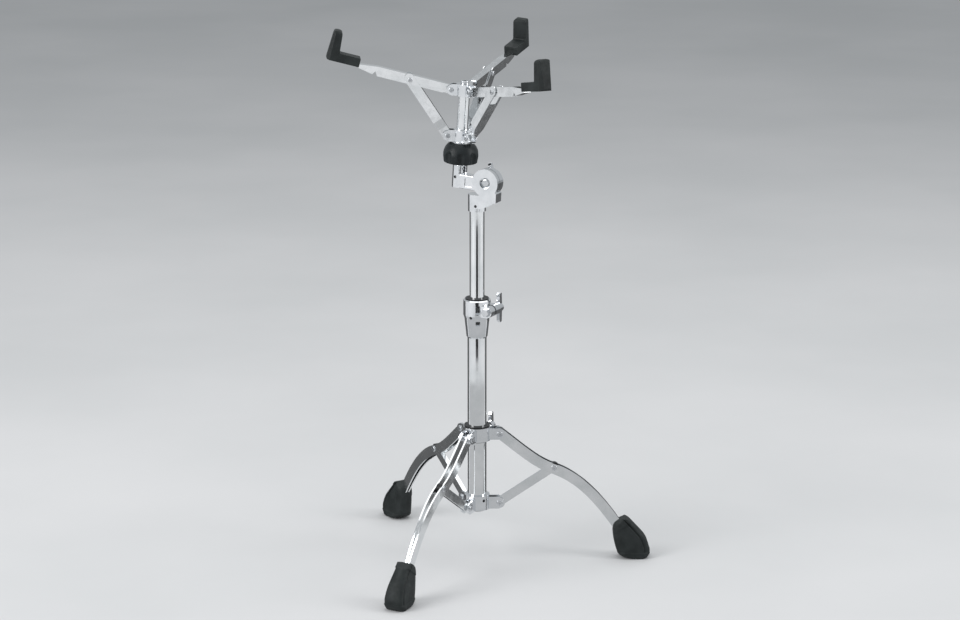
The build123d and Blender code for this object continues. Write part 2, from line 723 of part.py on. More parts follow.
def bracket_arm(rod_x, low, high):
    """The level arm of the L, with a shallow recess in its front face."""
    arm = block((rod_x, DISC_OFFSET - 8), (BRACKET_FRONT, BRACKET_BACK), (low, high))
    arm = fillet(arm.edges().filter_by(Axis.X), 1.2)
    recess = block(
        (rod_x + RECESS_START, rod_x + RECESS_END),
        (BRACKET_FRONT - 1, BRACKET_FRONT + RECESS_DEPTH),
        (low + RECESS_MARGIN, high - RECESS_MARGIN),
    )
    return arm - fillet(recess.edges().filter_by(Axis.Y), 1.5)


def rod_boss(low, high, top):
    """Upright boss on the Z axis, flat in front and slit so that a screw can close it on the rod."""
    beyond = 2 * BOSS_R
    boss = rod(BOSS_R, low, top) - block((-beyond, beyond), (-beyond, BRACKET_FRONT), (low - 1, top + 1))
    boss -= block(BOSS_SLIT, (-beyond, 0), (high, top + 1))
    boss -= block((BOSS_SLIT[0], beyond), (-beyond, 0), (high, high + BOSS_SLIT_HEIGHT))
    recess = Rot(0, 90, 0) * rod(BOSS_SCREW_R, BOSS_R - BOSS_SCREW_R, BOSS_R + 1)
    return boss - turned(Pos(0, 0, high + BOSS_SCREW_RISE) * recess, BOSS_SCREW_AZIMUTH)


def tilter_head():
    """L-shaped casting: the rear disc, a level arm and the upright boss that holds the rod."""
    rod_x = DISC_OFFSET - ROD_OFFSET
    low, high = DISC_Z + ARM_BRACKET_LOW, DISC_Z + ARM_BRACKET_HIGH
    boss_top = DISC_Z + BOSS_TOP
    body = on_disc_axis(rod(DISC_R, REAR_DISC_FRONT, DISC_BACK))
    body += bracket_arm(rod_x, low, high) - on_disc_axis(rod(DISC_CLEARANCE_R, -20, REAR_DISC_FRONT))
    body += Pos(rod_x, 0, 0) * rod_boss(low, high, boss_top)
    body -= Pos(rod_x, 0, 0) * rod(ROD_R, DISC_Z + ROD_BOTTOM, boss_top + 1)
    body -= on_rod_screw(rod(TILTER_SCREW_R, ROD_R, BOSS_R + 1))
    return body - on_disc_axis(rod(TILTER_BOLT_R + RUNNING_FIT, REAR_DISC_FRONT - 1, DISC_BACK + 1))


def on_rod_screw(shape):
    """Places a shape drawn on Z along the boss's set screw, +Z outward to the front."""
    place = Pos(DISC_OFFSET - ROD_OFFSET, 0, DISC_Z + 1.5)
    return place * turned(Rot(0, 90, 0) * shape, ROD_SCREW_AZIMUTH)


def rod_set_screw():
    return on_rod_screw(set_screw(TILTER_SCREW_R, ROD_R, BOSS_R - 1.8))


# ---- Basket --------------------------------------------------------------------
def in_basket(shape):
    """Places a shape drawn in the basket's frame, whose X is the stand's X before the tilt."""
    upright = Pos(DISC_OFFSET - ROD_OFFSET, 0, DISC_Z) * turned(shape, 90 - TILTER_AZIMUTH)
    return in_tilter(leaning(upright))


def basket_rod():
    bar = rod(ROD_R, ROD_BOTTOM, HUB_PIVOT_Z + HUB_HALF_HEIGHT)
    return bar - rod(HUB_SCREW_R, HUB_PIVOT_Z - 6, HUB_PIVOT_Z + HUB_HALF_HEIGHT + 1)


def pivot_casting(radius, bore, pivot_r, pivot_z, half_height, ear_inner, ear_outer):
    """Round casting on the rod with three clevises."""
    body = rod(radius, pivot_z - half_height, pivot_z + half_height)
    for azimuth in BASKET_AZIMUTHS:
        ears = clevis(pivot_r, pivot_z, half_height - 0.5, ear_inner, ear_outer, bore + 1)
        body += turned(ears - cross_pin(pivot_r, pivot_z, LINK_PIN_R, ear_outer + 1), azimuth)
    return body - rod(bore, pivot_z - half_height - 1, pivot_z + half_height + 1)


def basket_hub():
    ears = (HUB_EAR_INNER, HUB_EAR_OUTER)
    return pivot_casting(HUB_R, ROD_R, HUB_PIVOT_R, HUB_PIVOT_Z, HUB_HALF_HEIGHT, *ears)


def spider():
    bore = ROD_R + RUNNING_FIT
    ears = (SPIDER_EAR_INNER, SPIDER_EAR_OUTER)
    return pivot_casting(SPIDER_R, bore, SPIDER_PIVOT_R, SPIDER_PIVOT_Z, SPIDER_HALF_HEIGHT, *ears)


def basket_rivets(pivot_r, pivot_z, ear_outer):
    one = rivet(pivot_r, pivot_z, ear_outer, LINK_PIN_R, LINK_PIN_HEAD_R)
    return group([turned(one, azimuth) for azimuth in BASKET_AZIMUTHS])


def hub_screw():
    """Socket-head screw and collar that hold the hub on the rod."""
    top = HUB_PIVOT_Z + HUB_HALF_HEIGHT
    screw = rod(HUB_SCREW_HEAD_R, top, top + HUB_SCREW_HEAD) + rod(HUB_SCREW_R, HUB_PIVOT_Z - 5, top)
    screw = fillet(screw.edges().filter_by(GeomType.CIRCLE).sort_by(Axis.Z)[-1], 0.8)
    return screw - Pos(0, 0, top + 1.4) * extrude(RegularPolygon(HUB_SOCKET_R, 6), HUB_SCREW_HEAD)


def spider_washer():
    return ring(WASHER_R, ROD_R + RUNNING_FIT, KNOB_TOP + 0.1, WASHER_TOP)


def height_knob():
    """Fluted knob that screws the spider up and down the rod."""
    shoulder = KNOB_BOTTOM + 12
    low_edge = Polyline((0, KNOB_BOTTOM), (22, KNOB_BOTTOM), (25.5, KNOB_BOTTOM + 3), (KNOB_R, shoulder))
    dome = ThreePointArc((KNOB_R, shoulder), (23.4, KNOB_TOP - 8.5), (KNOB_NECK_R, KNOB_TOP))
    high_edge = Polyline((KNOB_NECK_R, KNOB_TOP), (0, KNOB_TOP), (0, KNOB_BOTTOM))
    profile = Plane.XZ * make_face([low_edge, dome, high_edge])
    knob = revolve(profile, Axis.Z)
    flute = Pos(FLUTE_CENTRE_R, 0, 0) * rod(FLUTE_R, KNOB_BOTTOM - 1, KNOB_TOP - 11)
    for index in range(KNOB_FLUTES):
        knob -= turned(flute, index * 360 / KNOB_FLUTES)
    return knob - rod(ROD_R + RUNNING_FIT, KNOB_BOTTOM - 1, KNOB_TOP + 1)


def on_arm(shape):
    """Places a shape drawn along X from the hub pivot onto the arm's line."""
    return Pos(HUB_PIVOT_R, 0, HUB_PIVOT_Z) * Rot(0, -ARM_RISE, 0) * shape


def claw_tongue():
    """Bent steel tongue of the arm, moulded into the rubber claw."""
    across = (-TONGUE_HALF_WIDTH, TONGUE_HALF_WIDTH)
    level = block((ARM_TIP - 12, TONGUE_END), across, (TONGUE_Z, TONGUE_Z + TONGUE))
    return level + block((TONGUE_END - TONGUE, TONGUE_END), across, (TONGUE_Z, CLAW_HEIGHT - 9))


def basket_arm():
    """Folded steel channel, open underneath, notched and pinched to a flat tongue at the claw."""
    outline = polygon(
        [
            (11, -ARM_HALF_DEPTH),
            (ARM_TAPER_START, -ARM_HALF_DEPTH),
            (ARM_TIP, -ARM_TIP_HALF_DEPTH),
            (ARM_TIP, TONGUE_Z + TONGUE),
            (ARM_TAPER_START, ARM_HALF_DEPTH),
            (11, ARM_HALF_DEPTH),
        ]
    )
    bar = slab(outline, -ARM_HALF_WIDTH, ARM_HALF_WIDTH)
    inner = ARM_HALF_WIDTH - ARM_WALL
    bar -= block((13, ARM_TAPER_START + 6), (-inner, inner), (-10, ARM_HALF_DEPTH - ARM_WALL))
    bar += slab(capsule((0, 0), (16, 0), ARM_HEAD_R), -ARM_TONGUE, ARM_TONGUE)
    bar += claw_tongue()
    bar -= cross_pin(0, 0, LINK_PIN_R + RUNNING_FIT, 10)
    slot_start = (ARM_KNEE - SLOT_HALF_TRAVEL, SLOT_RISE)
    slot_end = (ARM_KNEE + SLOT_HALF_TRAVEL, SLOT_RISE)
    bar -= slab(capsule(slot_start, slot_end, SLOT_R), -10, 10)
    return on_arm(bar - slab(polygon(ARM_NOTCH), -10, 10))


def claw():
    """Rubber claw that grips the drum's hoop, moulded over the arm's tongue."""
    side_view = polygon(
        [
            (ARM_TIP, 0),
            (CLAW_OUTER - 1, 0),
            (CLAW_OUTER, 2),
            (187.5, CLAW_HEIGHT - 2),
            (185.5, CLAW_HEIGHT),
            (176.5, CLAW_HEIGHT),
            (174.5, CLAW_HEIGHT - 2.5),
            (CLAW_POST_INNER, CLAW_PAD),
            (ARM_TIP, CLAW_PAD),
        ]
    )
    body = slab(side_view, -CLAW_HALF_WIDTH, CLAW_HALF_WIDTH)
    bevel = make_face(
        Polyline(
            (ARM_TIP - 1, -CLAW_HALF_WIDTH),
            (CLAW_OUTER - 5.5, -CLAW_HALF_WIDTH),
            (CLAW_OUTER + 1, -CLAW_HALF_WIDTH + 5),
            (CLAW_OUTER + 1, CLAW_HALF_WIDTH - 5),
            (CLAW_OUTER - 5.5, CLAW_HALF_WIDTH),
            (ARM_TIP - 1, CLAW_HALF_WIDTH),
            close=True,
        )
    )
    body &= Pos(0, 0, -1) * extrude(bevel, CLAW_HEIGHT + 2)
    return on_arm(body - claw_tongue())


def arm_knee():
    """Where the link's pin crosses the arm's centre line."""
    rise = math.radians(ARM_RISE)
    return HUB_PIVOT_R + ARM_KNEE * math.cos(rise), HUB_PIVOT_Z + ARM_KNEE * math.sin(rise)


def on_link(shape):
    """Places a shape drawn along X from the spider pivot onto the link's line."""
    knee_r, knee_z = arm_knee()
    elevation = math.degrees(math.atan2(knee_z - SPIDER_PIVOT_Z, knee_r - SPIDER_PIVOT_R))
    return Pos(SPIDER_PIVOT_R, 0, SPIDER_PIVOT_Z) * Rot(0, -elevation, 0) * shape


def link_length():
    knee_r, knee_z = arm_knee()
    return math.hypot(knee_r - SPIDER_PIVOT_R, knee_z - SPIDER_PIVOT_Z)


def link_plan(wall):
    """Plan view of the link: narrow inside the spider's ears, wide where it straddles the arm."""
    narrow, wide = LINK_NARROW - wall, LINK_WIDE - wall
    half = [(-20, narrow), (13, narrow), (27, wide), (link_length() + 20, wide)]
    points = half + [(x, -y) for x, y in reversed(half)]
    return Pos(0, 0, -20) * extrude(make_face(Polyline(*points, close=True)), 40)


def basket_link():
    """Folded steel fork from the spider to the arm, its web on the outer side."""
    length = link_length()
    fork_depth = 20
    bar = slab(capsule((0, 0), (length + LINK_HEAD, 0), LINK_HALF_DEPTH), -20, 20) & link_plan(0)
    hollow = link_plan(LINK_WALL)
    bar -= hollow & block((-20, length + 20), (-20, 20), (-LINK_HALF_DEPTH + LINK_WALL, 20))
    bar -= hollow & block((length - fork_depth, length + 20), (-20, 20), (-20, 20))
    bar -= cross_pin(0, 0, LINK_PIN_R + RUNNING_FIT, 20)
    return on_link(bar - cross_pin(length, 0, LINK_PIN_R, 20))


def link_pin():
    return on_link(rivet(link_length(), 0, LINK_WIDE, LINK_PIN_R, LINK_PIN_HEAD_R))


# ---- Assembly ------------------------------------------------------------------
def column_parts():
    return {
        "base_tube": base_tube(),
        "base_plug": base_plug(),
        "lower_bracket": lower_bracket(),
        "bracket_rivets": bracket_rivets(),
        "height_clamp": height_clamp(),
        "clamp_bushing": clamp_bushing(),
        "clamp_bolt": on_clamp_bolt(clamp_bolt()),
        "clamp_wing_nut": on_clamp_bolt(clamp_wing_nut()),
        "column_set_screws": column_set_screws(),
        "leg_collar": leg_collar(),
        "collar_bushing": collar_bushing(),
        "collar_rivets": collar_rivets(),
        "collar_wing_bolt": on_collar_bolt(collar_wing_bolt()),
        "guide_bushing": guide_bushing(),
        "upper_tube": upper_tube(),
    }


def leg_parts():
    one_leg = {
        "leg_{}_left_strip": leg_strip(1),
        "leg_{}_right_strip": leg_strip(-1),
        "leg_{}_rivets": leg_rivets(),
        "rubber_foot_{}": rubber_foot(),
        "brace_{}": on_brace(brace()),
        "brace_cap_{}": on_brace(brace_cap()),
    }
    return copies(one_leg, LEG_AZIMUTHS, turned)


def basket_parts():
    one_arm = {
        "basket_arm_{}": basket_arm(),
        "claw_{}": claw(),
        "basket_link_{}": basket_link(),
        "link_pin_{}": link_pin(),
    }
    parts = copies(one_arm, BASKET_AZIMUTHS, lambda shape, azimuth: in_basket(turned(shape, azimuth)))
    centre = {
        "basket_rod": basket_rod(),
        "basket_hub": basket_hub(),
        "hub_rivets": basket_rivets(HUB_PIVOT_R, HUB_PIVOT_Z, HUB_EAR_OUTER),
        "hub_screw": hub_screw(),
        "spider": spider(),
        "spider_rivets": basket_rivets(SPIDER_PIVOT_R, SPIDER_PIVOT_Z, SPIDER_EAR_OUTER),
        "spider_washer": spider_washer(),
        "height_knob": height_knob(),
    }
    parts.update({name: in_basket(shape) for name, shape in centre.items()})
    return parts


def tilter_parts():
    return {
        "tilter_base": in_tilter(tilter_base()),
        "socket_set_screw": in_tilter(socket_set_screw()),
        "tilter_washer": in_tilter(tilter_washer()),
        "tilter_bolt": in_tilter(tilter_bolt()),
        "tilter_wing_nut": in_tilter(tilter_wing_nut()),
        "tilter_head": in_tilter(leaning(tilter_head())),
        "rod_set_screw": in_tilter(leaning(rod_set_screw())),
    }


def copies(one_set, azimuths, place):
    """The set of parts repeated at each azimuth, its names numbered from 1."""
    parts = {}
    for number, azimuth in enumerate(azimuths, start=1):
        for name, shape in one_set.items():
            parts[name.format(number)] = place(shape, azimuth)
    return parts


def main():
    os.makedirs("parts", exist_ok=True)
    parts = {**column_parts(), **leg_parts(), **tilter_parts(), **basket_parts()}
    for name, shape in parts.items():
        export_step(shape, f"parts/{name}.step")


if __name__ == "__main__":
    main()
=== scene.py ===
import json
import math

import bmesh
import bpy
from mathutils import Matrix, Vector


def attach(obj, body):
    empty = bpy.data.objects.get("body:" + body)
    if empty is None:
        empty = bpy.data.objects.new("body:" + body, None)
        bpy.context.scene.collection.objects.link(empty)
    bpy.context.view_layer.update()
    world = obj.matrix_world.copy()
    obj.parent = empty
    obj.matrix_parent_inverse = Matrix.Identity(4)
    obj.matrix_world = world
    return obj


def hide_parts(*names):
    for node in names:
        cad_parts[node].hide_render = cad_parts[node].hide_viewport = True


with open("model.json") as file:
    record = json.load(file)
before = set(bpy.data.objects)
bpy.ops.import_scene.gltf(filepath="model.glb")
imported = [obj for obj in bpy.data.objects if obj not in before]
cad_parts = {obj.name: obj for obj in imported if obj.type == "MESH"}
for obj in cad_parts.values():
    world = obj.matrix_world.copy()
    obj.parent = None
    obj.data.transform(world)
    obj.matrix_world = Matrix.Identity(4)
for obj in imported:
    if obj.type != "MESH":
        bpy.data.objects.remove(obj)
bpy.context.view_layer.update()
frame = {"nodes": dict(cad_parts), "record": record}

# Snare drum stand. Shapes are drawn in millimetres, in the same frames as the CAD part,
# and scaled to metres when they are placed.
MM = 0.001

# ---- Shared with the CAD part ------------------------------------------------------
LEG_AZIMUTHS = (2.2, 122.2, 242.2)
BASKET_AZIMUTHS = (184.4, 304.4, 64.4)
TILTER_AZIMUTH = 63.5
DISC_OFFSET = 19.2
DISC_Z = 588.1
TILT = 3.6
ROD_OFFSET = 48.2
ROD_R = 8.45
HUB_PIVOT_R = 19.5
HUB_PIVOT_Z = 131.5
ARM_RISE = 11.74

# ---- Camera, from the photograph's viewing angle ------------------------------------
CAMERA_PLACE = (0.0, -4.002, 1.415)
CAMERA_PITCH_DOWN = 14.35
CAMERA_LENS = 103.8
CAMERA_SHIFT_X = 0.0031
CAMERA_SENSOR_WIDTH = 36.0
CAMERA_CLIP_END = 100.0

# ---- Studio, in metres and watts -----------------------------------------------------
FLOOR_HALF_SIZE = 30.0
FLOOR_GREY = ((0.60, 0.605, 0.61), (0.65, 0.65, 0.655))
SKY_COLOUR = (0.90, 0.94, 0.97, 1)
SKY_STRENGTH = 0.5
FLAG_TINT = (1.0, 1.02, 1.04)
FLAG_STEPS = 12
# name, near and far edge, start and end in degrees from the front, height, brightness
FLAGS = (
    ("streak_flag", 1.15, 2.35, -15, 15, 0.004, 0.02),
    ("near_flag", 0.2, 1.0, -100, 100, 0.003, 0.50),
    ("far_flag", 2.4, 6.0, -112, 112, 0.003, 0.80),
    ("left_flag", 0.25, 4.0, -178, -112, 0.002, 0.12),
    ("right_flag", 0.25, 4.0, 112, 178, 0.002, 0.12),
)
# name, place, point it faces, size, power
SOFTBOXES = (
    ("left_box", (-2.6, -1.6, 1.9), (0, 0, 0.4), (1.6, 2.2), 60),
    ("right_box", (2.8, -0.6, 1.7), (0, 0, 0.45), (1.0, 2.2), 30),
    ("top_box", (0.2, 0.6, 3.2), (0, 0, 0.4), (4.4, 3.6), 56),
)


# ---- Frames --------------------------------------------------------------------------
def turn(degrees, axis):
    return Matrix.Rotation(math.radians(degrees), 4, axis)


def move(x, y, z):
    return Matrix.Translation((x, y, z))


def tilter_frame():
    """X to the side on which the discs stand off the tube, Y along the discs' axis to the back."""
    return turn(TILTER_AZIMUTH - 90, "Z")


def basket_frame():
    """Z along the basket's rod, origin level with the discs' axis, X as the stand's X before the tilt."""
    leaning = move(DISC_OFFSET, 0, DISC_Z) @ turn(TILT, "Y") @ move(-ROD_OFFSET, 0, 0)
    return tilter_frame() @ leaning @ turn(90 - TILTER_AZIMUTH, "Z")


def arm_frame(azimuth):
    """X along the arm from the hub pivot, Z square to it."""
    return basket_frame() @ turn(azimuth, "Z") @ move(HUB_PIVOT_R, 0, HUB_PIVOT_Z) @ turn(-ARM_RISE, "Y")


# ---- Material helpers ------------------------------------------------------------------
class Shader:
    """A Principled material and the few nodes that give it colour, roughness and bump."""

    def __init__(self, name, metallic, specular=0.5):
        self.material = bpy.data.materials.new(name)
        self.material.use_nodes = True
        self.nodes = self.material.node_tree.nodes
        self.links = self.material.node_tree.links
        self.principled = self.nodes["Principled BSDF"]
        self.principled.inputs["Metallic"].default_value = metallic
        self.principled.inputs["Specular IOR Level"].default_value = specular
        self.place = self.nodes.new("ShaderNodeTexCoord").outputs["Object"]
        self.last_normal = None

    def noise(self, scale, detail=3.0, roughness=0.5, stretch=None):
        texture = self.nodes.new("ShaderNodeTexNoise")
        texture.inputs["Scale"].default_value = scale
        texture.inputs["Detail"].default_value = detail
        texture.inputs["Roughness"].default_value = roughness
        source = self.place
        if stretch:
            mapping = self.nodes.new("ShaderNodeMapping")
            mapping.inputs["Scale"].default_value = stretch
            self.links.new(self.place, mapping.inputs["Vector"])
            source = mapping.outputs["Vector"]
        self.links.new(source, texture.inputs["Vector"])
        return texture.outputs["Fac"]

    def spread(self, value, low, high, start=0.3, end=0.7):
        ranged = self.nodes.new("ShaderNodeMapRange")
        ranged.inputs["From Min"].default_value = start
        ranged.inputs["From Max"].default_value = end
        ranged.inputs["To Min"].default_value = low
        ranged.inputs["To Max"].default_value = high
        self.links.new(value, ranged.inputs["Value"])
        return ranged.outputs["Result"]

    def colours(self, value, first, second, start=0.35, end=0.65):
        ramp = self.nodes.new("ShaderNodeValToRGB")
        ramp.color_ramp.elements[0].position = start
        ramp.color_ramp.elements[0].color = (*first, 1)
        ramp.color_ramp.elements[1].position = end
        ramp.color_ramp.elements[1].color = (*second, 1)
        self.links.new(value, ramp.inputs["Fac"])
        self.links.new(ramp.outputs["Color"], self.principled.inputs["Base Color"])

    def roughness(self, value):
        self.links.new(value, self.principled.inputs["Roughness"])

    def bump(self, value, strength, depth_mm):
        node = self.nodes.new("ShaderNodeBump")
        node.inputs["Strength"].default_value = strength
        node.inputs["Distance"].default_value = depth_mm * MM
        self.links.new(value, node.inputs["Height"])
        if self.last_normal:
            self.links.new(self.last_normal, node.inputs["Normal"])
        self.last_normal = node.outputs["Normal"]
        self.links.new(self.last_normal, self.principled.inputs["Normal"])


def chrome(name, clean, worn, smooth, dull, ripple, grain_stretch):
    """Bright plating: faint ripple in the surface, hazy smudges and fine polishing lines."""
    shader = Shader(name, metallic=1.0)
    shader.colours(shader.noise(38, detail=4), worn, clean)
    haze = shader.noise(90, detail=5, roughness=0.65)
    shader.roughness(shader.spread(haze, smooth, dull))
    shader.bump(shader.noise(170, detail=1), 0.15, ripple)
    shader.bump(shader.noise(2600, detail=2, stretch=grain_stretch), 0.06, 0.02)
    return shader.material


def moulded(name, dark, light, smooth, dull, grain_scale, grain_depth):
    """Black rubber or plastic with a fine moulded grain and faint dusty patches."""
    shader = Shader(name, metallic=0.0, specular=0.25)
    shader.colours(shader.noise(45, detail=6, roughness=0.6), dark, light)
    shader.roughness(shader.spread(shader.noise(240, detail=4), smooth, dull))
    shader.bump(shader.noise(grain_scale, detail=3), 0.35, grain_depth)
    shader.bump(shader.noise(120, detail=2), 0.2, 0.12)
    return shader.material


def make_materials():
    """One material per slot of the record, and the blackened steel of the set screws."""
    return {
        "chrome_tube": chrome(
            "tube_chrome", clean=(0.90, 0.91, 0.92), worn=(0.80, 0.82, 0.83),
            smooth=0.035, dull=0.10, ripple=0.010, grain_stretch=(1, 1, 0.03),
        ),
        "chrome_strip": chrome(
            "strip_chrome", clean=(0.88, 0.89, 0.90), worn=(0.78, 0.80, 0.81),
            smooth=0.07, dull=0.17, ripple=0.020, grain_stretch=(0.1, 1, 0.1),
        ),
        "chrome_casting": chrome(
            "casting_chrome", clean=(0.88, 0.89, 0.91), worn=(0.76, 0.78, 0.80),
            smooth=0.06, dull=0.15, ripple=0.035, grain_stretch=(1, 1, 1),
        ),
        "zinc_steel": chrome(
            "zinc_steel", clean=(0.74, 0.75, 0.77), worn=(0.58, 0.60, 0.62),
            smooth=0.16, dull=0.32, ripple=0.020, grain_stretch=(1, 1, 0.2),
        ),
        "black_rubber": moulded(
            "black_rubber", dark=(0.012, 0.015, 0.015), light=(0.026, 0.031, 0.031),
            smooth=0.46, dull=0.66, grain_scale=1500, grain_depth=0.05,
        ),
        "black_nylon": moulded(
            "black_nylon", dark=(0.010, 0.010, 0.011), light=(0.020, 0.021, 0.022),
            smooth=0.30, dull=0.44, grain_scale=900, grain_depth=0.03,
        ),
        "blackened_steel": chrome(
            "blackened_steel", clean=(0.035, 0.035, 0.037), worn=(0.060, 0.060, 0.062),
            smooth=0.30, dull=0.45, ripple=0.015, grain_stretch=(1, 1, 1),
        ),
        "knob_plastic": moulded(
            "knob_plastic", dark=(0.011, 0.014, 0.015), light=(0.022, 0.027, 0.029),
            smooth=0.34, dull=0.48, grain_scale=1100, grain_depth=0.04,
        ),
    }


# ---- Studio ------------------------------------------------------------------------------
def add_camera():
    data = bpy.data.cameras.new("camera")
    data.lens = CAMERA_LENS
    data.sensor_width = CAMERA_SENSOR_WIDTH
    data.shift_x = CAMERA_SHIFT_X
    data.clip_end = CAMERA_CLIP_END
    camera = bpy.data.objects.new("camera", data)
    camera.location = CAMERA_PLACE
    camera.rotation_euler = (math.radians(90 - CAMERA_PITCH_DOWN), 0, 0)
    bpy.context.scene.collection.objects.link(camera)
    bpy.context.scene.camera = camera


def add_softbox(name, place, target, size, watts):
    data = bpy.data.lights.new(name, "AREA")
    data.shape = "RECTANGLE"
    data.size, data.size_y = size
    data.energy = watts
    light = bpy.data.objects.new(name, data)
    light.location = place
    aim = Vector(target) - Vector(place)
    light.rotation_euler = aim.to_track_quat("-Z", "Y").to_euler()
    bpy.context.scene.collection.objects.link(light)


def add_sheet(name, corners, material):
    """Flat stage sheet through its corners, given in order round its edge."""
    mesh = bpy.data.meshes.new(name)
    mesh.from_pydata(corners, [], [range(len(corners))])
    mesh.materials.append(material)
    sheet = bpy.data.objects.new(name, mesh)
    bpy.context.scene.collection.objects.link(sheet)
    return sheet


def add_floor():
    """Plain matt floor, very slightly uneven in its grey."""
    shader = Shader("floor_paint", metallic=0.0, specular=0.0)
    shader.colours(shader.noise(1.3, detail=5), *FLOOR_GREY)
    shader.roughness(shader.spread(shader.noise(40), 0.5, 0.62))
    shader.bump(shader.noise(400), 0.1, 0.1)
    size = FLOOR_HALF_SIZE
    corners = [(-size, -size, 0), (size, -size, 0), (size, size, 0), (-size, size, 0)]
    add_sheet("studio_floor", corners, shader.material)


def add_flag(name, near, far, start, end, height, brightness):
    """Glowing fan just above the floor that only reflections show; angles in degrees from the front."""
    material = bpy.data.materials.new(name)
    material.use_nodes = True
    nodes = material.node_tree.nodes
    nodes.clear()
    glow = nodes.new("ShaderNodeEmission")
    glow.inputs["Color"].default_value = (*[brightness * share for share in FLAG_TINT], 1)
    output = nodes.new("ShaderNodeOutputMaterial")
    material.node_tree.links.new(glow.outputs["Emission"], output.inputs["Surface"])
    angles = [math.radians(start + (end - start) * step / FLAG_STEPS) for step in range(FLAG_STEPS + 1)]
    rim = [(far * math.sin(a), -far * math.cos(a), height) for a in angles]
    rim += [(near * math.sin(a), -near * math.cos(a), height) for a in reversed(angles)]
    flag = add_sheet(name, rim, material)
    flag.visible_camera = False
    flag.visible_diffuse = False
    flag.visible_shadow = False


def add_world():
    world = bpy.data.worlds.new("studio")
    world.use_nodes = True
    background = world.node_tree.nodes["Background"]
    background.inputs["Color"].default_value = SKY_COLOUR
    background.inputs["Strength"].default_value = SKY_STRENGTH
    bpy.context.scene.world = world


def build_studio():
    add_camera()
    add_floor()
    add_world()
    bpy.context.scene.view_settings.view_transform = "Standard"
    for flag in FLAGS:
        add_flag(*flag)
    for softbox in SOFTBOXES:
        add_softbox(*softbox)


# ---- Mesh helpers --------------------------------------------------------------------------
CORNER_LIMIT = 0.48  # the most of a side's length that one corner's curve may take


def rounded(corners, steps=4):
    """Closed outline with each corner (x, y, radius) rounded by a short curve."""
    points = []
    for index, (x, y, radius) in enumerate(corners):
        here = Vector((x, y))
        before = Vector(corners[index - 1][:2]) - here
        after = Vector(corners[(index + 1) % len(corners)][:2]) - here
        start = here + before.normalized() * min(radius, before.length * CORNER_LIMIT)
        end = here + after.normalized() * min(radius, after.length * CORNER_LIMIT)
        for step in range(steps + 1):
            t = step / steps
            points.append((1 - t) ** 2 * start + 2 * t * (1 - t) * here + t * t * end)
    return points


def prism(outline, half_width):
    """Mesh of an X-Z outline thickened across Y by half_width each way."""
    bm = bmesh.new()
    sides = []
    for side in (-1, 1):
        sides.append([bm.verts.new((x, side * half_width, z)) for x, z in outline])
    near, far = sides
    bm.faces.new(near)
    bm.faces.new(far[::-1])
    for index in range(len(outline)):
        bm.faces.new((near[index - 1], far[index - 1], far[index], near[index]))
    bmesh.ops.recalc_face_normals(bm, faces=bm.faces)
    return bm


def cut_away(bm, point, normal):
    """Removes what lies beyond a plane and closes the cut."""
    geometry = bm.verts[:] + bm.edges[:] + bm.faces[:]
    cut = bmesh.ops.bisect_plane(bm, geom=geometry, plane_co=point, plane_no=normal, clear_outer=True)
    edges = [item for item in cut["geom_cut"] if isinstance(item, bmesh.types.BMEdge)]
    bmesh.ops.contextual_create(bm, geom=edges)


def add_bevel(piece, width_mm, segments=3, angle=28):
    bevel = piece.modifiers.new("bevel", "BEVEL")
    bevel.width = width_mm * MM
    bevel.segments = segments
    bevel.limit_method = "ANGLE"
    bevel.angle_limit = math.radians(angle)
    bevel.miter_outer = "MITER_ARC"
    bevel.use_clamp_overlap = True
    weighted = piece.modifiers.new("weighted", "WEIGHTED_NORMAL")
    weighted.keep_sharp = False


def add_piece(name, bm, place, body, nodes, slot):
    """Puts a millimetre mesh in the stand's frame as the piece shown for the CAD nodes."""
    bmesh.ops.recalc_face_normals(bm, faces=bm.faces)
    bm.transform(Matrix.Scale(MM, 4) @ place)
    mesh = bpy.data.meshes.new(name)
    bm.to_mesh(mesh)
    bm.free()
    mesh.materials.append(materials[slot])
    mesh.polygons.foreach_set("use_smooth", [True] * len(mesh.polygons))
    piece = bpy.data.objects.new(name, mesh)
    bpy.context.scene.collection.objects.link(piece)
    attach(piece, body)
    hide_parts(*nodes)
    return piece


# ---- Rubber claws -----------------------------------------------------------------------------
CLAW_HALF_WIDTH = 10.5
CLAW_INNER = 140.0
CLAW_OUTER = 189.5
CLAW_TOP = 45.0
CLAW_PAD_TOP = 13.0
CLAW_SIDE_VIEW = [
    (CLAW_INNER, 0, 1.5),
    (CLAW_OUTER, 0, 4.0),
    (187.2, CLAW_TOP, 5.5),
    (174.8, CLAW_TOP, 5.5),
    (172, CLAW_PAD_TOP, 3.0),
    (CLAW_INNER, CLAW_PAD_TOP, 2.0),
]
CLAW_CORNER_CUT = 5.5
CLAW_CORNER_SLOPE = (5.0, 6.5)
CLAW_TOP_CORNER = 6.0
CLAW_TOP_FACETS = (15, 40, 65)
CLAW_EDGE = 0.9


